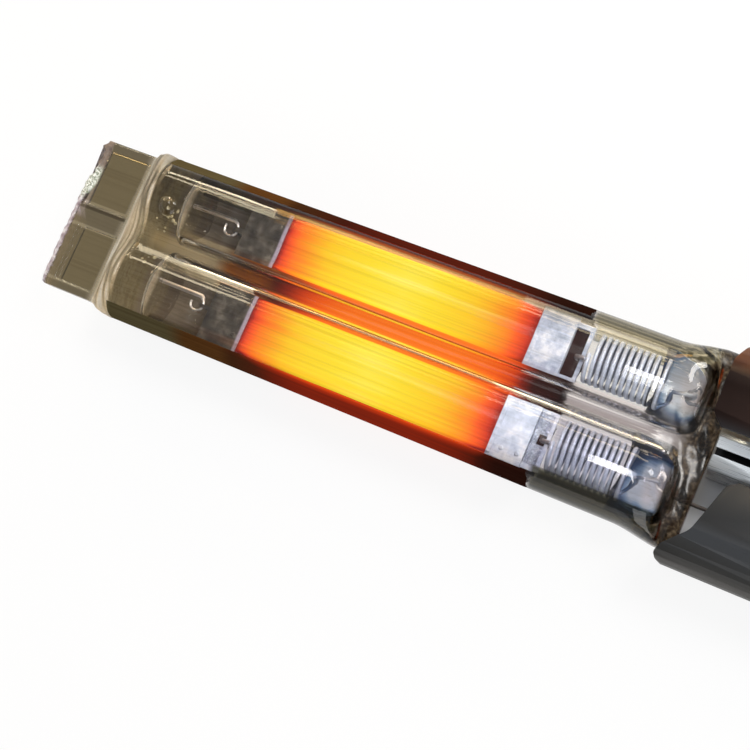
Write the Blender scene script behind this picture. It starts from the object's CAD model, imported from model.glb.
import math

import bmesh
import bpy
from mathutils import Matrix, Vector


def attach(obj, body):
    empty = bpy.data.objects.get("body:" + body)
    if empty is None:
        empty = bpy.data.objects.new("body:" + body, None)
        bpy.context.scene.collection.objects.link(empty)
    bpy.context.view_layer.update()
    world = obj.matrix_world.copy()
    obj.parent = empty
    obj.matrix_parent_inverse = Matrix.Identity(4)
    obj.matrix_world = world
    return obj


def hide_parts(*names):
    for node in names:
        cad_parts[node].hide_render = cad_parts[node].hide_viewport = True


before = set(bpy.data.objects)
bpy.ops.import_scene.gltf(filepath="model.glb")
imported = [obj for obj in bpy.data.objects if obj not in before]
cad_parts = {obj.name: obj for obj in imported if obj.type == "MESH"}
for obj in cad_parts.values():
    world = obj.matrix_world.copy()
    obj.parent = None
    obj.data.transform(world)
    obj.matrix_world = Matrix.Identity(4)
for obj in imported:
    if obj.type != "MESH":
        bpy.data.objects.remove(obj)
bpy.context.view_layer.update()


# Carbon ribbons
# Two strips of carbon fibre, each 11 mm wide, glow between their end clamps. The fibres run
# lengthwise, so the glow is streaky, yellow in the middle and red where the clamps draw the heat off.
MM = 0.001
MID_Z = 8.8 * MM  # the tube's middle plane
BORE_Y = 8.05 * MM  # from the tube's middle to the middle of each bore
RIBBON_START = -38.5 * MM
RIBBON_LENGTH = 50.0 * MM


def new_material(name):
    material = bpy.data.materials.new(name)
    material.use_nodes = True
    return material, material.node_tree, material.node_tree.nodes["Principled BSDF"]


def feed(tree, node, inputs):
    """Links each given socket to the node's input of that name, and sets each plain value there."""
    for key, value in inputs.items():
        if isinstance(value, bpy.types.NodeSocket):
            tree.links.new(value, node.inputs[key])
        else:
            node.inputs[key].default_value = value


def put(tree, kind, inputs=None, **settings):
    """Adds a node, with its settings and what goes into it."""
    node = tree.nodes.new(kind)
    for key, value in settings.items():
        setattr(node, key, value)
    feed(tree, node, inputs or {})
    return node


def sums(tree, operation, *values, clamp=False):
    inputs = dict(enumerate(values))
    return put(tree, "ShaderNodeMath", inputs, operation=operation, use_clamp=clamp).outputs[0]


def product(tree, first, *others):
    for other in others:
        first = sums(tree, "MULTIPLY", first, other)
    return first


def place(tree):
    """The point on the piece, in metres, as the sockets X, Y and Z."""
    point = put(tree, "ShaderNodeTexCoord").outputs["Object"]
    return put(tree, "ShaderNodeSeparateXYZ", {0: point}).outputs


def spread(tree, value, low, high, to_low=0.0, to_high=1.0, smooth=True):
    """Turns a value from low to high into one from to_low to to_high."""
    kind = "SMOOTHSTEP" if smooth else "LINEAR"
    inputs = {"Value": value, "From Min": low, "From Max": high, "To Min": to_low, "To Max": to_high}
    return put(tree, "ShaderNodeMapRange", inputs, interpolation_type=kind).outputs["Result"]


def region(tree, *edges):
    """A mask, the product of ready masks and of soft edges: a socket, where it is 0, where it is 1."""
    return product(tree, *(spread(tree, *edge) if isinstance(edge, tuple) else edge for edge in edges))


def linear(colour):
    """Linear red, green and blue, from three such numbers or from the usual six-digit code."""
    if not isinstance(colour, str):
        return colour
    parts = [int(colour[i : i + 2], 16) / 255 for i in (0, 2, 4)]
    return tuple(c / 12.92 if c <= 0.04045 else ((c + 0.055) / 1.055) ** 2.4 for c in parts)


def varied(tree, marks, low, high):
    """A number from low to high that follows the marks, most of which lie from 0.3 to 0.7."""
    return spread(tree, marks, 0.3, 0.7, low, high)


def ramp(tree, value, stops):
    node = put(tree, "ShaderNodeValToRGB", {0: value})
    elements = node.color_ramp.elements
    while len(elements) < len(stops):
        elements.new(1.0)
    for element, (spot, colour) in zip(elements, stops):
        element.position = spot
        element.color = (*linear(colour), 1.0)
    return node.outputs["Color"]


def along(tree, value, start, length, stops):
    """Colours along a length. Each stop is a distance from the start in millimetres, and a colour."""
    share = spread(tree, value, start, start + length, smooth=False)
    return ramp(tree, share, [(spot * MM / length, colour) for spot, colour in stops])


def profile(tree, value, start, length, stops):
    """A number along a length, with stops as for colours along it."""
    grey = along(tree, value, start, length, [(spot, (level, level, level)) for spot, level in stops])
    return put(tree, "ShaderNodeSeparateColor", {0: grey}).outputs[0]


def mixed(tree, share, first, second, blend="MIX"):
    node = put(tree, "ShaderNodeMix", {0: share}, data_type="RGBA", blend_type=blend)
    for key, value in ((6, first), (7, second)):
        feed(tree, node, {key: (*linear(value), 1.0) if isinstance(value, (str, tuple)) else value})
    return node.outputs[2]


def layered(tree, base, *layers):
    """A base with colours laid over it in turn: each has its mask, its colour and how they blend."""
    for mask, colour, *blend in layers:
        base = mixed(tree, mask, base, colour, *blend)
    return base


def bumps(tree, height, strength, depth):
    given = {"Height": height, "Strength": strength, "Distance": depth}
    return put(tree, "ShaderNodeBump", given).outputs[0]


def add_sockets(tree, way, *names, kind="Float"):
    for name in names:
        tree.interface.new_socket(name, in_out=way, socket_type="NodeSocket" + kind)


def streak_group():
    """Fine lines along X. Length and Width are the size of one streak in metres."""
    tree = bpy.data.node_groups.new("lengthwise_streaks", "ShaderNodeTree")
    add_sockets(tree, "INPUT", "Length", "Width", "Detail", "Shift")
    add_sockets(tree, "OUTPUT", "Streaks")
    given = tree.nodes.new("NodeGroupInput").outputs
    x, y, z = place(tree)
    across = put(tree, "ShaderNodeCombineXYZ", {
        0: sums(tree, "DIVIDE", x, given["Length"]),
        1: sums(tree, "ADD", sums(tree, "DIVIDE", y, given["Width"]), given["Shift"]),
        2: sums(tree, "DIVIDE", z, given["Width"]),
    }).outputs[0]
    noise = put(tree, "ShaderNodeTexNoise", {"Vector": across, "Scale": 1.0, "Detail": given["Detail"]})
    put(tree, "NodeGroupOutput", {"Streaks": noise.outputs[0]})
    return tree


STREAKS = streak_group()


def streaks(tree, length, width, detail=3.0, shift=0.0):
    node = put(tree, "ShaderNodeGroup", node_tree=STREAKS)
    feed(tree, node, {"Length": length, "Width": width, "Detail": detail, "Shift": shift})
    return node.outputs["Streaks"]


def glow_material():
    material, tree, shader = new_material("carbon_ribbon_glow")
    x, y, _ = place(tree)
    off_centre = sums(tree, "SUBTRACT", sums(tree, "ABSOLUTE", y), BORE_Y)
    edge = spread(tree, sums(tree, "ABSOLUTE", off_centre), 4.8 * MM, 5.6 * MM)
    fine = sums(tree, "SUBTRACT", streaks(tree, 16 * MM, 0.22 * MM), 0.5)
    broad = sums(tree, "SUBTRACT", streaks(tree, 24 * MM, 1.3 * MM, 1.0, 7.0), 0.5)
    wobble = sums(tree, "ADD", product(tree, fine, 0.15), product(tree, broad, 0.3))
    level = profile(tree, x, RIBBON_START, RIBBON_LENGTH, (
        (0, 0.0), (1, 0.08), (3, 0.2), (5, 0.30), (7, 0.42), (9, 0.55), (13, 0.72), (19, 0.86),
        (25, 0.95), (29, 0.90), (33, 0.76), (37, 0.62), (41, 0.45), (43, 0.34), (45, 0.24),
        (47, 0.12), (49, 0.04), (50, 0.0),
    ))
    heat = sums(tree, "ADD", level, product(tree, wobble, spread(tree, level, 0.0, 0.5, 0.2, 1.0)))
    heat = sums(tree, "SUBTRACT", heat, product(tree, edge, 0.10), clamp=True)
    colour = ramp(tree, heat, (
        (0.0, "8a1204"), (0.05, "d83410"), (0.12, "fb5a14"), (0.20, "ff7a0e"), (0.30, "fd960a"),
        (0.42, "fcb00c"), (0.55, "fdc810"), (0.72, "fcd71a"), (0.86, "fde024"), (1.0, "ffea48"),
    ))
    feed(tree, shader, {
        "Base Color": mixed(tree, fine, "1c0d06", "341508"),
        "Roughness": 0.85,
        "Specular IOR Level": 0.1,
        "Emission Color": colour,
        "Emission Strength": 1.12,
        "Normal": bumps(tree, fine, 0.4, 0.05 * MM),
    })
    return material


def dress(node, material):
    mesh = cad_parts[node].data
    mesh.materials.clear()
    mesh.materials.append(material)


GLOW = glow_material()
for side in ("far", "near"):
    dress(f"carbon_ribbon_{side}", GLOW)


# Anchor hooks and anchor clamps
# A molybdenum wire, sealed in the solid end of each bore, is curled to an eye. A folded sheet of the
# same metal, dull and dark from its firing, turns back through the eye and grips the ribbon.
def crumple_group():
    """Dents, creases and grime of thin sheet. Size is the width of one dent in metres."""
    tree = bpy.data.node_groups.new("sheet_creases", "ShaderNodeTree")
    add_sockets(tree, "INPUT", "Size", "Shift")
    add_sockets(tree, "OUTPUT", "Height", "Blotches", "Specks")
    given = tree.nodes.new("NodeGroupInput").outputs
    point = put(tree, "ShaderNodeTexCoord").outputs["Object"]
    moved = put(tree, "ShaderNodeVectorMath", {0: point, 1: given["Shift"]}, operation="ADD").outputs[0]
    scale = sums(tree, "DIVIDE", 1.0, given["Size"])
    fine_scale = product(tree, scale, 4.0)
    cells = put(tree, "ShaderNodeTexVoronoi", {"Vector": moved, "Scale": scale}, feature="SMOOTH_F1")
    soft = put(tree, "ShaderNodeTexNoise", {"Vector": moved, "Scale": scale, "Detail": 4.0}).outputs[0]
    fine = put(tree, "ShaderNodeTexNoise", {"Vector": moved, "Scale": fine_scale, "Detail": 5.0}).outputs[0]
    height = sums(tree, "ADD", product(tree, cells.outputs["Distance"], 0.6), soft)
    put(tree, "NodeGroupOutput", {"Height": height, "Blotches": soft, "Specks": fine})
    return tree


CREASES = crumple_group()


def creases(tree, size, shift):
    node = put(tree, "ShaderNodeGroup", node_tree=CREASES)
    feed(tree, node, {"Size": size, "Shift": shift})
    return node.outputs


def moly_sheet_material():
    material, tree, shader = new_material("molybdenum_sheet")
    worn = creases(tree, 2.2 * MM, 3.0)
    base = ramp(tree, worn["Blotches"], ((0.30, "2c2621"), (0.52, "4b443c"), (0.72, "736c62")))
    rim = spread(tree, place(tree)["X"], -39.4 * MM, -38.9 * MM)
    feed(tree, shader, {
        "Base Color": mixed(tree, rim, base, "b4a8bc"),
        "Metallic": 0.6,
        "Roughness": varied(tree, worn["Specks"], 0.32, 0.5),
        "Normal": bumps(tree, worn["Height"], 0.5, 0.25 * MM),
    })
    return material


def wire_material(name, dark, light, roughness, metallic=1.0, bright_to=1.0):
    """Drawn wire, tarnished past the place along X that bright_to gives."""
    material, tree, shader = new_material(name)
    lines = streaks(tree, 6 * MM, 0.12 * MM)
    base = mixed(tree, lines, dark, light)
    tarnished = spread(tree, place(tree)["X"], bright_to, bright_to + 0.4 * MM)
    feed(tree, shader, {
        "Base Color": mixed(tree, tarnished, base, "4a4442"),
        "Metallic": metallic,
        "Roughness": varied(tree, lines, roughness - 0.05, roughness + 0.08),
    })
    return material


MOLY_SHEET = moly_sheet_material()
HOOK_WIRE = wire_material("molybdenum_wire", "e6dada", "ffffff", 0.3)
for side in ("far", "near"):
    dress(f"anchor_clamp_{side}", MOLY_SHEET)
    dress(f"anchor_hook_{side}", HOOK_WIRE)


# Sprung clamps and yokes
# A bright nickel sheet, folded over the ribbon's other end and spot welded, holds a plate with a
# window in it. The sheet is thin and has been pressed by hand, so it is creased all over, and a
# torn flap of it nearly fills the near plate's window.
FLAP_START = 17.98 * MM
FLAP_LENGTH = 2.36 * MM
FLAP_HALF_WIDTH = 4.7 * MM
FLAP_THICKNESS = 0.06 * MM
FLAP_ROWS = 14
FLAP_STEPS = 60
FLAP_WHOLE_ROWS = 6  # the rows that run right across, before the spring's hook
HOOK_HALF_STEPS = 5.5  # half the width of the cut-out round the hook, in steps


def nickel_material():
    material, tree, shader = new_material("nickel_sheet")
    y = place(tree)["Y"]
    worn = creases(tree, 3.4 * MM, 11.0)
    marks = sums(tree, "ADD", product(tree, worn["Blotches"], 0.7), product(tree, worn["Specks"], 0.3))
    base = ramp(tree, marks, ((0.34, "a6b0c8"), (0.50, "c9d3ea"), (0.64, "f0f4ff")))
    off_centre = sums(tree, "SUBTRACT", y, product(tree, sums(tree, "SIGN", y), BORE_Y))
    turned = spread(tree, off_centre, -5 * MM, 4 * MM, smooth=False)
    darker = mixed(tree, 1.0, base, (0.62, 0.62, 0.66), "MULTIPLY")
    feed(tree, shader, {
        "Base Color": mixed(tree, turned, darker, base),
        "Metallic": 0.45,
        "Roughness": varied(tree, worn["Blotches"], 0.3, 0.46),
        "Normal": bumps(tree, worn["Height"], 0.2, 0.2 * MM),
    })
    return material


def flap_shape():
    """A crumpled strip that fills the yoke's window, cut out round the spring's hook."""
    shape = bmesh.new()
    rows = []
    for i in range(FLAP_ROWS + 1):
        row = []
        for k in range(FLAP_STEPS + 1):
            x = FLAP_START + FLAP_LENGTH * i / FLAP_ROWS
            y = -BORE_Y - FLAP_HALF_WIDTH + 2 * FLAP_HALF_WIDTH * k / FLAP_STEPS
            lift = math.sin(k * 1.9 + i * 0.8) + math.sin(k * 0.73 - i * 1.7 + 1.0)
            lift += math.sin(k * 3.1 + i * 2.3)
            row.append(shape.verts.new((x, y, MID_Z + 0.04 * MM * lift)))
        rows.append(row)
    for i in range(FLAP_ROWS):
        for k in range(FLAP_STEPS):
            beside_hook = abs(k + 0.5 - FLAP_STEPS / 2) > HOOK_HALF_STEPS
            if i < FLAP_WHOLE_ROWS or beside_hook:
                shape.faces.new((rows[i][k], rows[i + 1][k], rows[i + 1][k + 1], rows[i][k + 1]))
    loose = [v for v in shape.verts if not v.link_faces]
    bmesh.ops.delete(shape, geom=loose, context="VERTS")
    bmesh.ops.recalc_face_normals(shape, faces=shape.faces)
    bmesh.ops.solidify(shape, geom=shape.faces[:], thickness=FLAP_THICKNESS)
    bmesh.ops.recalc_face_normals(shape, faces=shape.faces)
    return shape


def mesh_of(shape, name, material):
    mesh = bpy.data.meshes.new(name)
    shape.to_mesh(mesh)
    shape.free()
    mesh.materials.append(material)
    return mesh


def add_piece(name, mesh, slot, *nodes):
    """A piece on the part's one body, which stands in for the nodes that are named."""
    piece = bpy.data.objects.new(name, mesh)
    bpy.context.scene.collection.objects.link(piece)
    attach(piece, "root")
    if nodes:
        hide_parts(*nodes)
    return piece


NICKEL = nickel_material()
for side in ("far", "near"):
    dress(f"sprung_clamp_{side}", NICKEL)
    dress(f"spring_yoke_{side}", NICKEL)
add_piece("near_window_foil", mesh_of(flap_shape(), "near_window_foil", NICKEL), "nickel_sheet")


# Tension springs
# One coil of bright spring wire in each bore keeps the ribbon straight as it grows hot. It hooks on
# to the yoke's end bar and, with a tail across its last turn, on to the lead. Its right end is dulled
# by the metal film that has settled in the end of the bore.
SPRING_FLAT_END = 35.15 * MM


def spring_material():
    material, tree, shader = new_material("spring_wire")
    x, _, z = place(tree)
    lines = streaks(tree, 6 * MM, 0.12 * MM)
    underneath = spread(tree, z, MID_Z + 1 * MM, MID_Z - 1 * MM)
    from_turn = sums(tree, "SUBTRACT", x, SPRING_FLAT_END)
    gap = region(tree, (from_turn, -1.9 * MM, -1.6 * MM), (from_turn, -0.6 * MM, -0.9 * MM))
    tail = mixed(tree, spread(tree, x, 36.2 * MM, 38.2 * MM), "3d5478", "a9adb8")
    base = layered(
        tree, mixed(tree, lines, "9fabc4", "d6dff3"),
        (underneath, "7c8598"),
        (gap, "161b2b"),
        (spread(tree, from_turn, 0.0, 0.3 * MM), tail),
        (spread(tree, x, 21.5 * MM, 21.0 * MM), "7d777c"),
    )
    feed(tree, shader, {
        "Base Color": base,
        "Metallic": 0.3,
        "Roughness": varied(tree, lines, 0.3, 0.4),
    })
    return material


def add_smoothed(node, material, slot, angle=35):
    """A copy of a node's mesh, merged and shaded smooth, that stands in for it."""
    name = node + "_smooth"
    shape = bmesh.new()
    shape.from_mesh(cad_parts[node].data)
    bmesh.ops.remove_doubles(shape, verts=shape.verts, dist=0.001 * MM)
    mesh = mesh_of(shape, name, material)
    mesh.shade_smooth()
    mesh.set_sharp_from_angle(angle=math.radians(angle))
    add_piece(name, mesh, slot, node)


SPRING_WIRE = spring_material()
for side in ("far", "near"):
    add_smoothed(f"tension_spring_{side}", SPRING_WIRE, "spring_wire", 50)


# Lead wires
# A molybdenum wire, hooked at its inner end, carries the current out through the pinch. The far one
# is dulled by the film in its bore. The near one is bright as far as the pinch, and brown past it.
PINCH_START = 41.8 * MM
dress("lead_wire_far", wire_material("lead_wire", "6f727c", "8d909b", 0.6, 0.0))
dress("lead_wire_near", wire_material("bright_lead", "eeeaf2", "ffffff", 0.3, 0.0, PINCH_START))


# Quartz tube
# One length of fused quartz, drawn with two bores side by side. Its left end was pressed shut in a
# flame into a tab with two square jaw marks on each face, and its right end was pinched on the leads.
TUBE_HALF_WIDTH = 16.5 * MM
TUBE_HALF_HEIGHT = 7.5 * MM
WAIST_HALF = 4.8 * MM
TUBE_START = -81.5 * MM
TUBE_LENGTH = 128.0 * MM
TUBE_END = TUBE_START + TUBE_LENGTH
TAB_END = -69.5 * MM
TAB_HALF_WIDTH = 15.3 * MM
TAB_HALF_HEIGHT = 1.7 * MM
TAB_ROUND = 1.2 * MM  # rounding of the tab's outer end
TAB_SQUARENESS = 9.0  # power of the section's curve: 2 is round, 9 nearly square
SHOULDER_END = -64.5 * MM
BORE_START = -57.9 * MM
BORE_NARROWS = 37.3 * MM
BORE_END = 42.9 * MM
BORE_HALF_WIDTH = 7.05 * MM
BORE_HALF_HEIGHT = 6.1 * MM
BORE_POWER = 3.2  # how blunt the bores' closed end is
DOME_START = 35.4 * MM
PINCH_ROUND = 2.2 * MM  # rounding of the flared end
PINCH_HALF_WIDTH = 17.6 * MM
PINCH_HALF_HEIGHT = 4.2 * MM
PINCH_WAIST = 3.1 * MM
PINCH_SQUARENESS = 3.2
COAT_END = 20.3 * MM  # where the coat on its underside stops
STEM_X = -60.1 * MM  # the sealed pump stem on the far lobe
STEM_Y = 6.05 * MM
STEM_RADIUS = 1.9 * MM
STEM_RISE = 1.05 * MM
RING_POINTS = 320
WEB_STEPS = 60
LOBE_STEPS = 240
BORE_POINTS = 96


def ease(low, high, value):
    share = min(max((value - low) / (high - low), 0.0), 1.0)
    return share * share * (3 - 2 * share)


def between(low, high, share):
    return low + (high - low) * share


def section(half_width, half_height, waist, squareness):
    """The outline of the tube across its length, from the middle of its top, at equal steps."""
    lobe_y = half_width * BORE_Y / TUBE_HALF_WIDTH
    lobe_half = half_width - lobe_y
    quarter = []
    for i in range(WEB_STEPS):
        rise = (1 - math.cos(math.pi * i / WEB_STEPS)) / 2
        quarter.append((lobe_y * i / WEB_STEPS, between(waist, half_height, rise)))
    for i in range(LOBE_STEPS + 1):
        angle = math.pi / 2 * i / LOBE_STEPS
        across = math.sin(angle) ** (2 / squareness)
        quarter.append((lobe_y + lobe_half * across, half_height * math.cos(angle) ** (2 / squareness)))
    lengths = [0.0]
    for first, second in zip(quarter, quarter[1:]):
        lengths.append(lengths[-1] + math.dist(first, second))
    count = RING_POINTS // 4
    spots = []
    at = 0
    for i in range(count):
        target = lengths[-1] * i / count
        while lengths[at + 1] < target:
            at += 1
        share = (target - lengths[at]) / max(lengths[at + 1] - lengths[at], 1e-12)
        spots.append(tuple(between(a, b, share) for a, b in zip(quarter[at], quarter[at + 1])))
    right = spots + [quarter[-1]] + [(y, -z) for y, z in reversed(spots[1:])]
    return right + [(-y, -z) for y, z in right]


def tube_ring(x):
    """The outline at one place along the tube, before marks and ripples."""
    if x <= TAB_END:
        to_end = min((x - TUBE_START) / TAB_ROUND, 1.0)
        inset = 1 - math.sin(math.acos(1 - to_end))
        thick = TAB_HALF_HEIGHT - 0.5 * MM * inset
        return section(TAB_HALF_WIDTH - 1.3 * MM * inset, thick, thick, TAB_SQUARENESS)
    if x <= SHOULDER_END:
        share = (x - TAB_END) / (SHOULDER_END - TAB_END)
        rise = ease(0, 1, share) ** 0.7
        return section(
            between(TAB_HALF_WIDTH, TUBE_HALF_WIDTH, ease(0, 1, share * 1.4)),
            between(TAB_HALF_HEIGHT, TUBE_HALF_HEIGHT, rise),
            between(TAB_HALF_HEIGHT, WAIST_HALF, rise),
            between(TAB_SQUARENESS, 2.0, rise),
        )
    if x <= DOME_START:
        return section(TUBE_HALF_WIDTH, TUBE_HALF_HEIGHT, WAIST_HALF, 2.0)
    round_start = TUBE_END - PINCH_ROUND
    share = min((x - DOME_START) / (round_start - DOME_START), 1.0)
    round_off = max(0.0, (x - round_start) / PINCH_ROUND)
    inset = 1 - math.sqrt(max(0.0, 1 - round_off**2))
    return section(
        between(TUBE_HALF_WIDTH, PINCH_HALF_WIDTH, ease(0, 1, share)) - 2.6 * MM * inset,
        between(TUBE_HALF_HEIGHT, PINCH_HALF_HEIGHT, ease(0, 1, share * share)) - 1.1 * MM * inset,
        between(WAIST_HALF, PINCH_WAIST, ease(0, 1, share)) - 0.6 * MM * inset,
        between(2.0, PINCH_SQUARENESS, share),
    )


def wave(*phases):
    """A smooth number from -1 to 1 that never repeats over the piece."""
    return sum(math.sin(p) for p in phases) / len(phases)


def jaw_mark(x, y):
    """How far a point of the tab lies inside one of the two square marks, from 0 to 1."""
    start = TUBE_START + (1.5 if y > 0 else 3.0) * MM
    end = TAB_END - 0.75 * MM
    size = abs(y)
    lengthwise = ease(start, start + 0.35 * MM, x) * (1 - ease(end - 0.35 * MM, end, x))
    across = ease(1.8 * MM, 2.15 * MM, size) * (1 - ease(13.45 * MM, 13.8 * MM, size))
    return lengthwise * across


def tube_point(x, y, z):
    """Jaw marks, shoulder ridges, pump stem and the ripples of drawn quartz, on a point outside."""
    u, v = x / MM, y / MM
    sign = 1 if z > 0 else -1
    z -= sign * 0.45 * MM * jaw_mark(x, y)
    on_shoulder = ease(TAB_END - 0.6 * MM, TAB_END + 0.8 * MM, x)
    on_shoulder *= 1 - ease(SHOULDER_END, SHOULDER_END + 2 * MM, x)
    ridges = wave(u * 3.3 + 1.4 * math.sin(v * 0.35), u * 5.1 + v * 0.5)
    z += sign * 0.30 * MM * on_shoulder * ridges * min(1.0, abs(z) / (1.5 * MM))
    dimples = wave(u * 2.1 + v * 0.7, v * 1.3 + u * 0.4)
    z += sign * 0.22 * MM * ease(DOME_START, BORE_END, x) * dimples * min(1.0, abs(z) / (1.5 * MM))
    if z > 0:
        z += STEM_RISE * ease(1.0, 0.25, math.hypot(x - STEM_X, y - STEM_Y) / STEM_RADIUS)
    z += sign * 0.025 * MM * wave(u * 0.23 + v * 0.9, v * 2.3 + 0.5, u * 0.11)
    if x < TUBE_START + 1.5 * MM:
        rough = wave(v * 1.7, v * 3.9 + 1.0, v * 0.6 + 2.0)
        broken = ease(4 * MM, 13 * MM, y)
        chipped = 0.18 * MM * (1 + rough) + broken * 0.9 * MM * (1.1 + rough)
        x += chipped * (1 - (x - TUBE_START) / (1.5 * MM))
    return (x, y, MID_Z + z)


def stations_of_tube():
    """The places of the rings along the tube, closer together where its form changes fast."""
    stations = [TUBE_START + 0.06 * MM * i * i for i in range(5)]
    x = TUBE_START + 1.3 * MM
    while x < TUBE_END - 0.01 * MM:
        stations.append(x)
        if x < STEM_X + STEM_RADIUS:
            x += 0.25 * MM
        elif x < DOME_START - 2 * MM:
            x += 2.4 * MM
        elif x < TUBE_END - 2.4 * MM:
            x += 0.4 * MM
        else:
            x += 0.2 * MM
    stations += [TUBE_END - 0.05 * MM, TUBE_END]
    stations += [COAT_END + 0.2 * MM * k for k in range(-4, 4)]
    return sorted(stations)


def bore_ring(x, side):
    if x < BORE_START + 1.2 * MM:
        share = 1 - (x - BORE_START) / (1.2 * MM)
        size = 0.8 + 0.2 * math.sqrt(max(0.0, 1 - share * share))
    elif x > BORE_NARROWS:
        share = (x - BORE_NARROWS) / (BORE_END - BORE_NARROWS)
        size = max(0.02, 1 - share**BORE_POWER) ** (1 / BORE_POWER)
    else:
        size = 1.0
    ring = []
    for i in range(BORE_POINTS):
        angle = 2 * math.pi * i / BORE_POINTS
        y = side * BORE_Y + BORE_HALF_WIDTH * size * math.cos(angle)
        ring.append((x, y, MID_Z + BORE_HALF_HEIGHT * size * math.sin(angle)))
    return ring


def bridge(shape, rings):
    """Closed rings of points, joined by faces. Gives back the rings' corners and the faces."""
    rows = [[shape.verts.new(point) for point in ring] for ring in rings]
    faces = []
    for lower, upper in zip(rows, rows[1:]):
        for i in range(len(lower)):
            j = (i + 1) % len(lower)
            faces.append(shape.faces.new((lower[i], lower[j], upper[j], upper[i])))
    return rows, faces


def skin(shape, rings, inside_out=False):
    """A surface over the rings, closed by a fan of faces at each end."""
    rows, faces = bridge(shape, rings)
    for row, turn in ((rows[0], True), (rows[-1], False)):
        hub = shape.verts.new(sum((v.co for v in row), Vector()) / len(row))
        for i in range(len(row)):
            j = (i + 1) % len(row)
            corners = (row[j], row[i], hub) if turn else (row[i], row[j], hub)
            faces.append(shape.faces.new(corners))
    bmesh.ops.recalc_face_normals(shape, faces=faces)
    if inside_out:
        bmesh.ops.reverse_faces(shape, faces=faces)


def stripe(tree, value, low, high, soft):
    """A mask from low to high, with edges that are soft for so much on each side."""
    return region(tree, (value, low - soft, low + soft), (value, high + soft, high - soft))


def distance(tree, first, second):
    squares = sums(tree, "ADD", product(tree, first, first), product(tree, second, second))
    return sums(tree, "SQRT", squares)


def bore_wall(tree, x, size, z):
    """1 on the walls of the bores and 0 on the outside of the tube."""
    across = sums(tree, "DIVIDE", sums(tree, "SUBTRACT", size, BORE_Y), BORE_HALF_WIDTH)
    height = sums(tree, "DIVIDE", sums(tree, "SUBTRACT", z, MID_Z), BORE_HALF_HEIGHT)
    limit = spread(tree, x, 39 * MM, BORE_END, 1.05, 0.86, smooth=False)
    return product(
        tree,
        sums(tree, "LESS_THAN", distance(tree, across, height), limit),
        sums(tree, "GREATER_THAN", x, BORE_START - 0.1 * MM),
        sums(tree, "LESS_THAN", x, BORE_END + 0.1 * MM),
    )


def tab_tint(tree, tint, x, y, size, above):
    """The tab's margin, its two dark jaw marks, and the lines that the jaws left beside them."""
    start = spread(tree, y, -1 * MM, 1 * MM, TUBE_START + 3.2 * MM, TUBE_START + 1.7 * MM, smooth=False)
    from_start = sums(tree, "SUBTRACT", x, start)
    margin = mixed(tree, spread(tree, y, -1 * MM, 1 * MM), (0.19, 0.145, 0.08), (0.46, 0.375, 0.39))
    pad = region(
        tree, (from_start, -0.1 * MM, 0.2 * MM), (x, TAB_END - 0.8 * MM, TAB_END - 1.1 * MM),
        (size, 1.9 * MM, 2.2 * MM), (size, 13.7 * MM, 13.4 * MM),
    )
    tint = layered(
        tree, tint,
        (spread(tree, from_start, -0.1 * MM, -0.5 * MM), margin),
        (pad, (0.165, 0.128, 0.065)),
    )
    on_tab = region(
        tree, (x, TUBE_START + 1.2 * MM, TUBE_START + 1.6 * MM), (x, TAB_END, TAB_END - 0.5 * MM), above,
    )
    cream = (0.46, 0.40, 0.27)
    dark = (0.035, 0.024, 0.01)
    for low, high, colour in (
        (1.1, 1.8, dark), (2.1, 2.7, cream), (-2.6, -1.9, cream), (-14.0, -13.4, cream),
    ):
        line = stripe(tree, y, low * MM, high * MM, 0.15 * MM)
        tint = mixed(tree, product(tree, line, on_tab), tint, colour)
    return tint


def shoulder_folds(tree, x, y, z):
    folds = put(tree, "ShaderNodeCombineXYZ", {
        0: sums(tree, "DIVIDE", x, 0.7 * MM),
        1: sums(tree, "DIVIDE", y, 8 * MM),
        2: sums(tree, "DIVIDE", z, 5 * MM),
    }).outputs[0]
    folds = put(tree, "ShaderNodeTexNoise", {"Vector": folds, "Scale": 1.0, "Detail": 3.0}).outputs[0]
    return mixed(tree, spread(tree, folds, 0.36, 0.64), (0.64, 0.58, 0.44), (1.0, 0.95, 0.80))


def carried_glow(tree, x, y, size, lines, inside):
    """The ribbons' light that the quartz carries along its web and its outer walls."""
    level = profile(tree, x, -50 * MM, 70.3 * MM, (
        (0.0, 0.0), (9.0, 0.05), (12.5, 0.15), (15.5, 0.40), (18.5, 0.70), (24.5, 1.0), (49.0, 1.0),
        (54.5, 0.88), (57.5, 0.70), (60.5, 0.40), (62.5, 0.12), (64.5, 0.03), (70.3, 0.0),
    ))
    web = region(tree, (size, 1.0 * MM, 1.7 * MM), (y, 3.6 * MM, 2.9 * MM), (y, -2.4 * MM, -2.0 * MM))
    outer = region(tree, (size, 12.1 * MM, 12.6 * MM), (size, 13.9 * MM, 13.2 * MM))
    carried = product(
        tree,
        sums(tree, "MAXIMUM", web, outer),
        sums(tree, "SUBTRACT", 1.0, inside),
        level,
        spread(tree, lines, 0.35, 0.7, 1.0, 0.7),
    )
    edge_line = region(tree, (y, 12.15 * MM, 12.4 * MM), (y, 13.3 * MM, 13.05 * MM))
    wall_glow = mixed(tree, edge_line, (0.75, 0.155, 0.008), (1.0, 0.56, 0.17))
    return mixed(tree, carried, (0.0, 0.0, 0.0), wall_glow)


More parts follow.
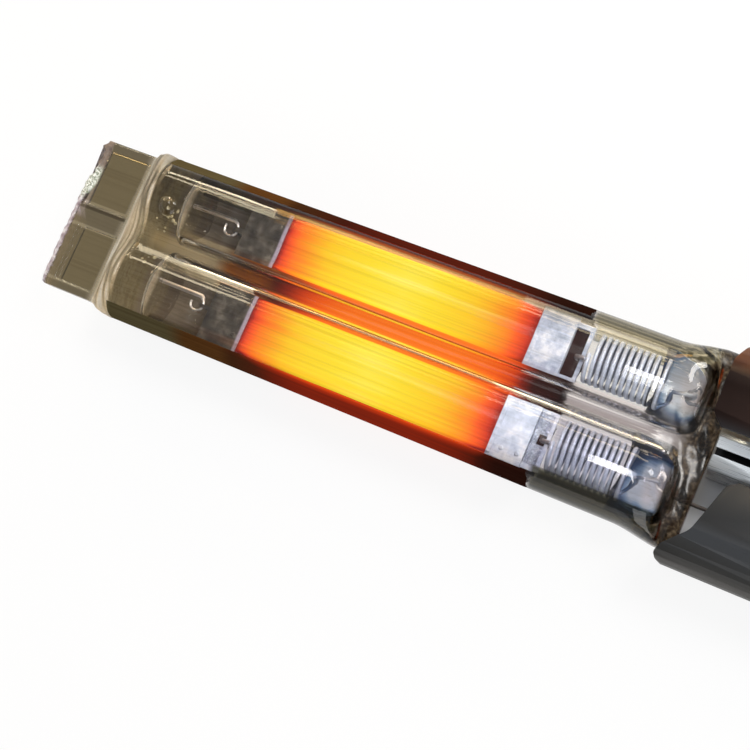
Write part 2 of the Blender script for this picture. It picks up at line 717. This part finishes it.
def quartz_material():
    material, tree, shader = new_material("fused_quartz")
    x, y, z = place(tree)
    size = sums(tree, "ABSOLUTE", y)
    lines = streaks(tree, 60 * MM, 0.45 * MM, 2.0, 3.0)
    flow = creases(tree, 2.4 * MM, 8.0)
    below = spread(tree, z, MID_Z + 0.5 * MM, MID_Z - 0.5 * MM)
    above = sums(tree, "SUBTRACT", 1.0, below)
    wall = bore_wall(tree, x, size, z)
    past_coat = (x, COAT_END, COAT_END + 0.3 * MM)
    past_ribbon = (x, 20 * MM, 21 * MM)
    tint = along(tree, x, TUBE_START, TUBE_LENGTH, (
        (0.0, (0.15, 0.12, 0.07)), (10.8, (0.15, 0.12, 0.07)), (11.6, (0.55, 0.48, 0.40)),
        (12.4, (0.98, 0.88, 0.76)), (16.8, (0.96, 0.87, 0.64)), (18.0, (0.52, 0.45, 0.31)),
        (22.8, (0.52, 0.45, 0.31)), (24.2, (0.62, 0.56, 0.48)), (101.4, (0.84, 0.80, 0.75)),
        (101.8, (0.50, 0.46, 0.46)), (121.0, (0.46, 0.42, 0.42)), (123.6, (0.12, 0.09, 0.065)),
        (128.0, (0.10, 0.075, 0.05)),
    ))
    filmed = region(tree, below, past_coat, (x, 38 * MM, 37 * MM), (size, 1.6 * MM, 2.4 * MM))
    web = region(tree, (size, 3.0 * MM, 2.4 * MM), past_coat, (x, 39 * MM, 37 * MM))
    drawn = mixed(tree, spread(tree, lines, 0.42, 0.58), (0.22, 0.18, 0.18), (0.95, 0.89, 0.88))
    tint = layered(
        tree, tint,
        (filmed, (0.24, 0.28, 0.37)),
        (web, mixed(tree, below, drawn, (0.95, 0.90, 0.90))),
    )
    tint = tab_tint(tree, tint, x, y, size, above)
    rim_lines = spread(tree, lines, 0.44, 0.56)
    far_rim = region(tree, (y, 12.6 * MM, 13.2 * MM), past_ribbon)
    near_rim = region(tree, (y, -12.6 * MM, -13.2 * MM), past_ribbon)
    over_bores = region(
        tree, (size, 2.3 * MM, 3.0 * MM), (size, 13.0 * MM, 12.5 * MM),
        (x, -48.5 * MM, -46.5 * MM), (x, 42.0 * MM, 41.0 * MM),
    )
    near_end = region(tree, (y, -1 * MM, -2 * MM), past_ribbon)
    on_shoulder = region(tree, (x, TAB_END - 0.5 * MM, TAB_END), (x, SHOULDER_END + 1 * MM, SHOULDER_END))
    tint = layered(
        tree, tint,
        (far_rim, mixed(tree, rim_lines, (0.06, 0.05, 0.022), (0.44, 0.38, 0.24))),
        (near_rim, mixed(tree, rim_lines, (0.006, 0.005, 0.002), (0.045, 0.04, 0.022))),
        (over_bores, mixed(tree, near_end, (0.94, 0.93, 0.91), (0.62, 0.60, 0.68))),
        (product(tree, on_shoulder, above), shoulder_folds(tree, x, y, z)),
    )
    lit = region(tree, (x, -44 * MM, -40 * MM), (x, 16 * MM, 12 * MM), above)
    for low, high, colour in ((1.0, 2.2, (1.0, 0.55, 0.28)), (-3.1, -2.3, (0.72, 0.42, 0.2))):
        line = stripe(tree, y, low * MM, high * MM, 0.2 * MM)
        tint = mixed(tree, product(tree, line, lit), tint, colour, "MULTIPLY")
    on_pinch = spread(tree, x, BORE_END - 1.5 * MM, BORE_END)
    patches = mixed(tree, spread(tree, flow["Specks"], 0.42, 0.66), (0.025, 0.016, 0.01), (0.20, 0.15, 0.10))
    sooty = region(
        tree, (x, BORE_START + 1.5 * MM, BORE_START + 1.2 * MM),
        (z, MID_Z + 2.6 * MM, MID_Z + 1.4 * MM),
    )
    tint = layered(
        tree, tint,
        (on_pinch, patches),
        (spread(tree, lines, 0.45, 0.72, 0.0, 0.5), (0.62, 0.56, 0.46), "MULTIPLY"),
        (wall, mixed(tree, sooty, (0.97, 0.965, 0.95), (0.45, 0.40, 0.34))),
    )
    outside = sums(tree, "SUBTRACT", 1.0, wall)
    blurred = sums(tree, "MAXIMUM", product(tree, on_shoulder, 0.42), product(tree, on_pinch, 0.22))
    for blur in (
        spread(tree, x, TUBE_START + 1.8 * MM, TUBE_START + 0.8 * MM, 0.0, 0.4),
        product(tree, region(tree, past_ribbon, (size, 3.0 * MM, 2.2 * MM), outside), 0.24),
        0.02,
    ):
        blurred = sums(tree, "MAXIMUM", blurred, blur)
    height = sums(tree, "ADD", product(tree, lines, 0.2), product(tree, flow["Height"], on_pinch))
    feed(tree, shader, {
        "Base Color": tint,
        "Roughness": blurred,
        "IOR": 1.458,
        "Transmission Weight": 1.0,
        "Emission Color": carried_glow(tree, x, y, size, lines, sums(tree, "MAXIMUM", below, wall)),
        "Emission Strength": 0.45,
        "Normal": bumps(tree, height, 0.3, 0.2 * MM),
    })
    clear = put(tree, "ShaderNodeBsdfTransparent", {"Color": (0.88, 0.87, 0.85, 1.0)})
    lamp_side = put(tree, "ShaderNodeLightPath").outputs["Is Shadow Ray"]
    both = put(tree, "ShaderNodeMixShader", {0: lamp_side, 1: shader.outputs[0], 2: clear.outputs[0]})
    depth = put(tree, "ShaderNodeVolumeAbsorption", {"Color": (0.50, 0.46, 0.36, 1.0), "Density": 20.0})
    feed(tree, tree.nodes["Material Output"], {"Surface": both.outputs[0], "Volume": depth.outputs[0]})
    return material


def add_shape(name, shape, material, slot, *nodes):
    """A smooth-shaded piece from a shape."""
    mesh = mesh_of(shape, name, material)
    mesh.shade_smooth()
    return add_piece(name, mesh, slot, *nodes)


QUARTZ = quartz_material()
TUBE_STATIONS = stations_of_tube()
shape = bmesh.new()
skin(shape, [[tube_point(x, y, z) for y, z in tube_ring(x)] for x in TUBE_STATIONS])
for side in (1, -1):
    stations = [BORE_START + 0.15 * MM * i for i in range(9)]
    stations += [BORE_START + 4.8 * MM + 3.6 * MM * i for i in range(26)]
    stations += [BORE_NARROWS + 0.28 * MM * i for i in range(20)] + [BORE_END]
    skin(shape, [bore_ring(x, side) for x in stations], True)
TUBE_BODY = add_shape("quartz_body", shape, QUARTZ, "fused_quartz", "quartz_tube")


# Chipped end of the tab
# The jaws left the tab's outer end ragged: a narrow strip of crushed quartz, whitish and a little
# lilac, runs along it and breaks up most at the far corner.
CHIP_POINTS = 78  # points of the strip on each side of the top's middle


def chipped_material():
    material, tree, shader = new_material("crushed_quartz")
    x, y, _ = place(tree)
    worn = creases(tree, 1.1 * MM, 6.0)
    specks = worn["Specks"]
    broken = mixed(tree, spread(tree, specks, 0.4, 0.6), "7d8670", "fafcf4")
    corner = mixed(tree, specks, "4d4034", "a08d80")
    base = ramp(tree, worn["Blotches"], ((0.36, "9c8c92"), (0.50, "bfb2b7"), (0.64, "e9e4e6")))
    base = layered(
        tree, base,
        (spread(tree, y, 2 * MM, 4 * MM), broken),
        (spread(tree, y, 8.5 * MM, 10.5 * MM), corner),
    )
    edge = sums(tree, "ADD", x, product(tree, sums(tree, "SUBTRACT", specks, 0.5), 1.6 * MM))
    edge = sums(tree, "SUBTRACT", edge, spread(tree, y, 2 * MM, 7 * MM, 0.0, 1.3 * MM))
    feed(tree, shader, {
        "Base Color": base,
        "Roughness": varied(tree, specks, 0.4, 0.7),
        "Alpha": spread(tree, edge, TUBE_START + 1.4 * MM, TUBE_START + 0.9 * MM),
        "Normal": bumps(tree, worn["Height"], 0.15, 0.1 * MM),
    })
    return material


def shell(rings):
    """A closed thin shell from rings that run out along one face and back along the other."""
    shape = bmesh.new()
    rows, _ = bridge(shape, rings)
    for row in (rows[0], rows[-1]):
        for i in range(len(row) // 2 - 1):
            shape.faces.new((row[i], row[i + 1], row[-i - 2], row[-i - 1]))
    bmesh.ops.recalc_face_normals(shape, faces=shape.faces)
    return shape


def chip_ring(x):
    """Out along the tab's upper half a hair above it, and back a little lower."""
    outline = tube_ring(x)
    top = [tube_point(x, y, z) for y, z in outline[-CHIP_POINTS:] + outline[: CHIP_POINTS + 1]]
    upper = [(px, py * 0.999, pz + 0.05 * MM) for px, py, pz in top]
    lower = [(px, py * 0.999, pz + 0.02 * MM) for px, py, pz in reversed(top)]
    return upper + lower


rings = [chip_ring(TUBE_START + 0.02 * MM + 0.2 * MM * i) for i in range(16)]
add_shape("chipped_end", shell(rings), chipped_material(), "fused_quartz")


# Bubbles in the solid quartz
# Where the hot quartz ran together behind the tab, gas was trapped as small round bubbles. They lie
# in the solid stretch in front of each bore, most of them on the far side, and catch the light.
def bubble_material():
    material, tree, shader = new_material("bubble_glint")
    worn = creases(tree, 0.4 * MM, 2.0)
    feed(tree, shader, {
        "Base Color": mixed(tree, worn["Blotches"], "b3ad92", "e6e1c8"),
        "Roughness": 0.15,
    })
    return material


def bubble_tree():
    tree = bpy.data.node_groups.new("bubbles", "GeometryNodeTree")
    add_sockets(tree, "INPUT", "Centre", kind="Vector")
    add_sockets(tree, "INPUT", "Length", "Width", "Depth", "Radius")
    add_sockets(tree, "INPUT", "Count", "Seed", kind="Int")
    add_sockets(tree, "INPUT", "Finish", kind="Material")
    add_sockets(tree, "OUTPUT", "Geometry", kind="Geometry")
    given = tree.nodes.new("NodeGroupInput").outputs
    sides = {0: given["Length"], 1: given["Width"], 2: given["Depth"]}
    box = put(tree, "ShaderNodeCombineXYZ", sides).outputs[0]
    back = put(tree, "ShaderNodeVectorMath", {0: box, "Scale": -0.5}, operation="SCALE").outputs[0]
    forth = put(tree, "ShaderNodeVectorMath", {0: box, "Scale": 0.5}, operation="SCALE").outputs[0]
    limits = {0: back, 1: forth, "Seed": given["Seed"]}
    spot = put(tree, "FunctionNodeRandomValue", limits, data_type="FLOAT_VECTOR").outputs[0]
    spot = put(tree, "ShaderNodeVectorMath", {0: spot, 1: given["Centre"]}, operation="ADD").outputs[0]
    points = put(tree, "GeometryNodePoints", {"Count": given["Count"], "Position": spot}).outputs[0]
    ball = put(tree, "GeometryNodeMeshIcoSphere", {"Radius": given["Radius"], "Subdivisions": 2}).outputs[0]
    grow = put(tree, "FunctionNodeRandomValue", {2: 0.4, 3: 1.0, "Seed": 9}, data_type="FLOAT").outputs[1]
    laid_out = {"Points": points, "Instance": ball, "Scale": grow}
    many = put(tree, "GeometryNodeInstanceOnPoints", laid_out).outputs[0]
    solid = put(tree, "GeometryNodeRealizeInstances", {0: many}).outputs[0]
    smooth = put(tree, "GeometryNodeSetShadeSmooth", {0: solid}).outputs[0]
    done = put(tree, "GeometryNodeSetMaterial", {"Geometry": smooth, "Material": given["Finish"]}).outputs[0]
    put(tree, "NodeGroupOutput", {0: done})
    return tree


def grown_mesh(name, tree, values):
    """A plain mesh made by a geometry tree, with its named inputs set by identifier."""
    seed = bpy.data.objects.new(name + "_seed", bpy.data.meshes.new(name + "_seed"))
    bpy.context.scene.collection.objects.link(seed)
    modifier = seed.modifiers.new(name, "NODES")
    modifier.node_group = tree
    for item in tree.interface.items_tree:
        if item.item_type == "SOCKET" and item.in_out == "INPUT" and item.name in values:
            modifier[item.identifier] = values[item.name]
    bpy.context.view_layer.update()
    live = seed.evaluated_get(bpy.context.evaluated_depsgraph_get())
    mesh = bpy.data.meshes.new_from_object(live)
    mesh.name = name
    bpy.data.objects.remove(seed)
    return mesh


BUBBLES = bubble_tree()
GLINT = bubble_material()
for name, centre, width, count, seed in (
    ("bubbles_far", (-61.0 * MM, 5.2 * MM, MID_Z + 1.5 * MM), 5.6 * MM, 14, 4),
    ("bubbles_near", (-62.4 * MM, -5.6 * MM, MID_Z + 1.5 * MM), 6.5 * MM, 5, 7),
):
    mesh = grown_mesh(name, BUBBLES, {
        "Centre": centre, "Length": 3.6 * MM, "Width": width, "Depth": 4 * MM,
        "Count": count, "Radius": 0.42 * MM, "Seed": seed, "Finish": GLINT,
    })
    add_piece(name, mesh, "fused_quartz")


# Reflector coat
# The underside of the quartz is coated beneath the ribbons, so that their heat leaves upwards. The
# coat is a fired film, olive by the tab and nearly black beneath the ribbons; it is on the quartz
# itself and throws the ribbons' glow back between the two bores.
COAT_RISE_POINTS = 22  # how far the coat climbs past the tube's widest line


def coat_base(tree, x, size, lines):
    """The coat's own colour: paler on the web and at the sides, and scored by fine lines."""
    base = along(tree, x, TUBE_START, 60 * MM, (
        (0.0, (0.72, 0.64, 0.52)), (13.2, (0.72, 0.64, 0.52)), (14.2, (0.32, 0.285, 0.20)),
        (18.0, (0.32, 0.285, 0.20)), (19.6, (0.25, 0.215, 0.17)), (28.6, (0.21, 0.175, 0.14)),
        (31.6, (0.12, 0.09, 0.05)), (41.0, (0.05, 0.022, 0.008)), (54.0, (0.016, 0.006, 0.004)),
    ))
    past_shoulder = (x, -66 * MM, -64 * MM)
    web = region(tree, (size, 4.0 * MM, 2.6 * MM), (x, -36 * MM, -42 * MM), past_shoulder)
    pale_lines = mixed(tree, lines, (0.16, 0.13, 0.07), (0.70, 0.62, 0.44))
    sides = region(tree, (size, 12.6 * MM, 13.6 * MM), (x, -37 * MM, -41 * MM), past_shoulder)
    by_ribbon = spread(tree, x, -52 * MM, -47 * MM)
    return layered(
        tree, base,
        (web, mixed(tree, spread(tree, x, -51 * MM, -47 * MM), pale_lines, (0.42, 0.16, 0.025))),
        (sides, mixed(tree, by_ribbon, (0.085, 0.068, 0.032), (0.085, 0.036, 0.010))),
        (spread(tree, lines, 0.4, 0.7, 0.0, 0.5), (0.5, 0.45, 0.4), "MULTIPLY"),
    )


def coat_material():
    material, tree, shader = new_material("reflector_coat")
    x, y, _ = place(tree)
    lines = streaks(tree, 30 * MM, 0.35 * MM, 3.0, 1.0)
    warm = profile(tree, x, -50 * MM, 70.3 * MM, (
        (0.0, 0.0), (9.0, 0.05), (12.5, 0.12), (15.5, 0.30), (18.5, 0.54), (21.5, 0.74), (24.5, 0.88),
        (29.0, 1.0), (49.0, 1.0), (54.5, 0.90), (57.5, 0.78), (60.5, 0.55), (62.5, 0.22), (64.5, 0.08),
        (70.3, 0.03),
    ))
    reach = product(
        tree,
        spread(tree, y, 12.9 * MM, 14.5 * MM, 1.0, 0.13),
        spread(tree, y, -13.0 * MM, -15.2 * MM, 1.0, 0.22),
        spread(tree, lines, 0.3, 0.7, 0.86, 1.08),
    )
    glow = ramp(tree, sums(tree, "MULTIPLY", reach, warm, clamp=True), (
        (0.0, (0.0, 0.0, 0.0)), (0.10, "300a04"), (0.30, "86200a"), (0.52, "c83c0a"),
        (0.74, "ec5a0a"), (1.0, "fb7a16"),
    ))
    feed(tree, shader, {
        "Base Color": coat_base(tree, x, sums(tree, "ABSOLUTE", y), lines),
        "Roughness": varied(tree, lines, 0.5, 0.6),
        "Specular IOR Level": 0.0,
        "Emission Color": glow,
        "Emission Strength": 1.3,
    })
    return material


TUBE_BODY.data.materials.append(coat_material())
for row, (start, end) in enumerate(zip(TUBE_STATIONS, TUBE_STATIONS[1:])):
    rise = COAT_RISE_POINTS if start > SHOULDER_END else 0
    for k in range(RING_POINTS // 4 - rise, 3 * RING_POINTS // 4 + rise):
        ragged = 0.5 * MM * wave(k * 0.21, k * 0.047 + 1.0, k * 0.6)
        if TAB_END + 0.3 * MM < (start + end) / 2 < COAT_END - 0.1 * MM + ragged:
            TUBE_BODY.data.polygons[row * RING_POINTS + k].material_index = 1


# Film in the bore ends
# Metal driven off the hot parts has settled as a film in the closed end of each bore, behind the
# lead's hook: a silvery round patch with a dark blue rim, and nearly black under the spring's end.
FILM_START = 33.6 * MM
FILM_END = 42.6 * MM
PATCH_X = 40.5 * MM
PATCH_NEAR_Y = -8.6 * MM
PATCH_FAR_Y = 10.2 * MM
PATCH_REACH = 8.6 * MM  # from the patch's middle to where the film is darkest
FILM_OUTER = 0.985  # of the bore's own size
FILM_INNER = 0.965
ARC_STEPS = 52


def film_material():
    material, tree, shader = new_material("bore_end_film")
    x, y, _ = place(tree)
    worn = creases(tree, 1.6 * MM, 4.0)
    on_far = spread(tree, y, -1 * MM, 1 * MM, smooth=False)
    middle = sums(tree, "ADD", product(tree, on_far, PATCH_FAR_Y - PATCH_NEAR_Y), PATCH_NEAR_Y)
    away = distance(tree, sums(tree, "SUBTRACT", y, middle), sums(tree, "SUBTRACT", x, PATCH_X))
    uneven = product(tree, sums(tree, "SUBTRACT", worn["Blotches"], 0.5), 0.9 * MM)
    away = sums(tree, "SUBTRACT", sums(tree, "ADD", away, uneven), product(tree, on_far, 1.0 * MM))
    colour = ramp(tree, spread(tree, away, 0.0, PATCH_REACH, smooth=False), (
        (0.0, "e6e0e2"), (0.30, "dcdde6"), (0.50, "c3d0e2"), (0.57, "7f9cc0"), (0.66, "33507c"),
        (0.80, "1c2c4c"), (1.0, "10141f"),
    ))
    feed(tree, shader, {
        "Base Color": colour,
        "Metallic": 0.1,
        "Roughness": varied(tree, worn["Specks"], 0.3, 0.5),
    })
    return material


def film_arc(x, side, share):
    """The lower half of a bore's wall at one place along it, at a share of the wall's size."""
    size = (bore_ring(x, side)[0][1] - side * BORE_Y) / BORE_HALF_WIDTH * share
    arc = []
    for k in range(ARC_STEPS + 1):
        angle = math.radians(180 + 180 * k / ARC_STEPS)
        y = side * BORE_Y + BORE_HALF_WIDTH * size * math.cos(angle)
        arc.append((x, y, MID_Z + BORE_HALF_HEIGHT * size * math.sin(angle)))
    return arc


def film_shape(side):
    stations = [between(FILM_START, FILM_END, math.sin(math.pi / 2 * i / 25)) for i in range(26)]
    return shell([film_arc(x, side, FILM_OUTER) + film_arc(x, side, FILM_INNER)[::-1] for x in stations])


FILM = film_material()
for name, side in (("far", 1), ("near", -1)):
    add_shape(f"bore_end_film_{name}", film_shape(side), FILM, "fused_quartz")


# End cap and its rail
# A folded steel cap holds the pinched end. Its sheet is dark and smooth, with faint rolling marks,
# and its floor and the slotted rail on it are bright.
def cap_material():
    material, tree, shader = new_material("cap_steel")
    _, y, z = place(tree)
    worn = creases(tree, 9 * MM, 5.0)
    lines = streaks(tree, 30 * MM, 0.4 * MM, 4.0, 9.0)
    brown = mixed(tree, worn["Blotches"], "0e0504", "30201c")
    rust = mixed(tree, worn["Specks"], "4a2410", "7a4c2c")
    far_side = mixed(tree, spread(tree, y, 12.5 * MM, 16.5 * MM), brown, rust)
    base = ramp(tree, spread(tree, z, 3 * MM, 17 * MM, smooth=False), (
        (0.0, "130e08"), (0.30, "1c1710"), (0.62, "2f2a23"), (0.85, "343433"), (1.0, "37393c"),
    ))
    base = layered(
        tree, base,
        (spread(tree, y, 2 * MM, 6 * MM), far_side),
        (spread(tree, z, 1.9 * MM, 0.9 * MM, smooth=False), "c0c4ca"),
    )
    feed(tree, shader, {
        "Base Color": base,
        "Metallic": 0.1,
        "Roughness": varied(tree, worn["Blotches"], 0.42, 0.5),
        "Specular IOR Level": 0.25,
        "Normal": bumps(tree, lines, 0.05, 0.02 * MM),
    })
    return material


def bright_material():
    material, tree, shader = new_material("bright_steel")
    _, y, z = place(tree)
    lines = streaks(tree, 12 * MM, 0.2 * MM, 4.0, 2.0)
    from_slot = sums(tree, "ABSOLUTE", sums(tree, "SUBTRACT", y, 0.55 * MM))
    slot = region(tree, (z, MID_Z + 3.3 * MM, MID_Z + 2.9 * MM), (from_slot, 2.95 * MM, 2.8 * MM))
    base = mixed(tree, lines, "aab2b8", "dfe3e6")
    feed(tree, shader, {
        "Base Color": mixed(tree, slot, base, "15171a"),
        "Metallic": 0.6,
        "Roughness": varied(tree, lines, 0.25, 0.4),
    })
    return material


BRIGHT_STEEL = bright_material()
add_smoothed("end_cap", cap_material(), "cap_steel")
add_smoothed("centre_rail", BRIGHT_STEEL, "bright_steel")


# Ceramic block, crimps, blades and rivets
# A steatite block closes the back of the cap. Crimped on to each lead, a nickel-plated blade comes
# out through it, and a rivet through each hood holds it.
def ceramic_material():
    material, tree, shader = new_material("steatite")
    worn = creases(tree, 3 * MM, 1.0)
    feed(tree, shader, {
        "Base Color": mixed(tree, worn["Blotches"], "e2dcd0", "f1ede4"),
        "Roughness": varied(tree, worn["Specks"], 0.5, 0.68),
        "Normal": bumps(tree, worn["Specks"], 0.2, 0.05 * MM),
    })
    return material


BLADE_PLATE = wire_material("nickel_plate", "a8a294", "dcd8cc", 0.3)
dress("ceramic_block", ceramic_material())
for side in ("far", "near"):
    dress(f"crimp_sleeve_{side}", BLADE_PLATE)
    dress(f"terminal_blade_{side}", BLADE_PLATE)
    dress(f"cap_rivet_{side}", BRIGHT_STEEL)


# Floor, lamps and camera
# A plain white floor keeps a soft shadow. Four panels light the tube from above and from the front,
# and six strips beyond its far side draw cream and amber lines along the quartz as they reflect.
FLOOR_REACH = 3.0
STRIP_DISTANCE = 0.55
CREAM = (1.0, 0.86, 0.60)
AMBER = (1.0, 0.52, 0.12)


def floor_material():
    material, tree, shader = new_material("white_floor")
    tree.nodes.remove(shader)
    path = put(tree, "ShaderNodeLightPath").outputs
    seen = sums(tree, "MAXIMUM", path["Is Camera Ray"], path["Is Glossy Ray"])
    seen = sums(tree, "MAXIMUM", seen, path["Is Transmission Ray"])
    matt = put(tree, "ShaderNodeBsdfDiffuse", {"Color": (0.9, 0.9, 0.9, 1.0)}).outputs[0]
    white = put(tree, "ShaderNodeEmission").outputs[0]
    both = put(tree, "ShaderNodeMixShader", {0: product(tree, seen, 0.88), 1: matt, 2: white}).outputs[0]
    feed(tree, tree.nodes["Material Output"], {"Surface": both})
    return material


def lamp(name, spot, aim, size, size_y, power, colour=(1.0, 1.0, 1.0)):
    data = bpy.data.lights.new(name, "AREA")
    data.shape = "RECTANGLE"
    data.size = size
    data.size_y = size_y
    data.energy = power
    data.color = colour
    item = bpy.data.objects.new(name, data)
    item.location = spot
    item.rotation_mode = "QUATERNION"
    item.rotation_quaternion = (Vector(aim) - Vector(spot)).to_track_quat("-Z", "Y")
    bpy.context.scene.collection.objects.link(item)


floor_mesh = bpy.data.meshes.new("floor")
corners = [(x * FLOOR_REACH, y * FLOOR_REACH, 0) for x, y in ((-1, -1), (1, -1), (1, 1), (-1, 1))]
floor_mesh.from_pydata(corners, [], [(0, 1, 2, 3)])
floor_mesh.materials.append(floor_material())
floor = bpy.data.objects.new("floor", floor_mesh)
floor.location.z = -0.2 * MM
bpy.context.scene.collection.objects.link(floor)

world = bpy.data.worlds.new("studio")
world.use_nodes = True
sky = world.node_tree.nodes["Background"]
feed(world.node_tree, sky, {"Color": (0.92, 0.95, 1.0, 1.0), "Strength": 0.38})
bpy.context.scene.world = world

ORIGIN = (0.0, 0.0, 0.0)
lamp("key_panel", (0.32, 0.38, 0.60), ORIGIN, 0.30, 0.30, 3.6, (1.0, 0.98, 0.95))
lamp("glint", (-0.036, 0.0, 0.80), ORIGIN, 0.20, 0.037, 0.42)
lamp("soft_panel", (-0.075, 0.06, 0.75), ORIGIN, 0.11, 0.5, 0.17)
lamp("front_fill", (0.25, -0.9, 0.5), ORIGIN, 0.6, 0.6, 3.0)
for name, left, right, low, high, level, colour in (
    ("strip_left_low", -0.45, -0.27, 20, 24, 22.0, CREAM),
    ("strip_left_high", -0.45, -0.27, 32, 38, 11.0, CREAM),
    ("strip_middle_low", -0.27, -0.10, 16, 25, 7.0, AMBER),
    ("strip_middle_high", -0.27, -0.10, 38, 43, 3.5, AMBER),
    ("strip_right_low", -0.10, 0.08, 8, 25, 5.5, CREAM),
    ("strip_right_high", -0.10, 0.08, 34, 38, 7.0, CREAM),
):
    angle = math.radians((low + high) / 2)
    length = right - left
    width = STRIP_DISTANCE * math.radians(high - low)
    middle = (left + right) / 2
    spot = (middle, STRIP_DISTANCE * math.cos(angle), STRIP_DISTANCE * math.sin(angle))
    lamp(name, spot, (middle, 0.0, 0.0), length, width, math.pi * level * length * width, colour)

camera_data = bpy.data.cameras.new("camera")
camera_data.lens = 60.0
camera_data.sensor_width = 36.0
camera_data.clip_start = 0.01
camera = bpy.data.objects.new("camera", camera_data)
camera_spot = Vector((0.05119, -0.03051, 0.22154))
picture_right = Vector((0.89083, 0.39494, -0.2246))
picture_down = Vector((0.35401, -0.91323, -0.20173))
ahead = Vector((-0.28478, 0.1002, -0.95334))
turn = Matrix((picture_right, -picture_down, -ahead)).transposed()
camera.matrix_world = Matrix.Translation(camera_spot) @ turn.to_4x4()
bpy.context.scene.collection.objects.link(camera)
bpy.context.scene.camera = camera
bpy.context.scene.view_settings.view_transform = "Standard"
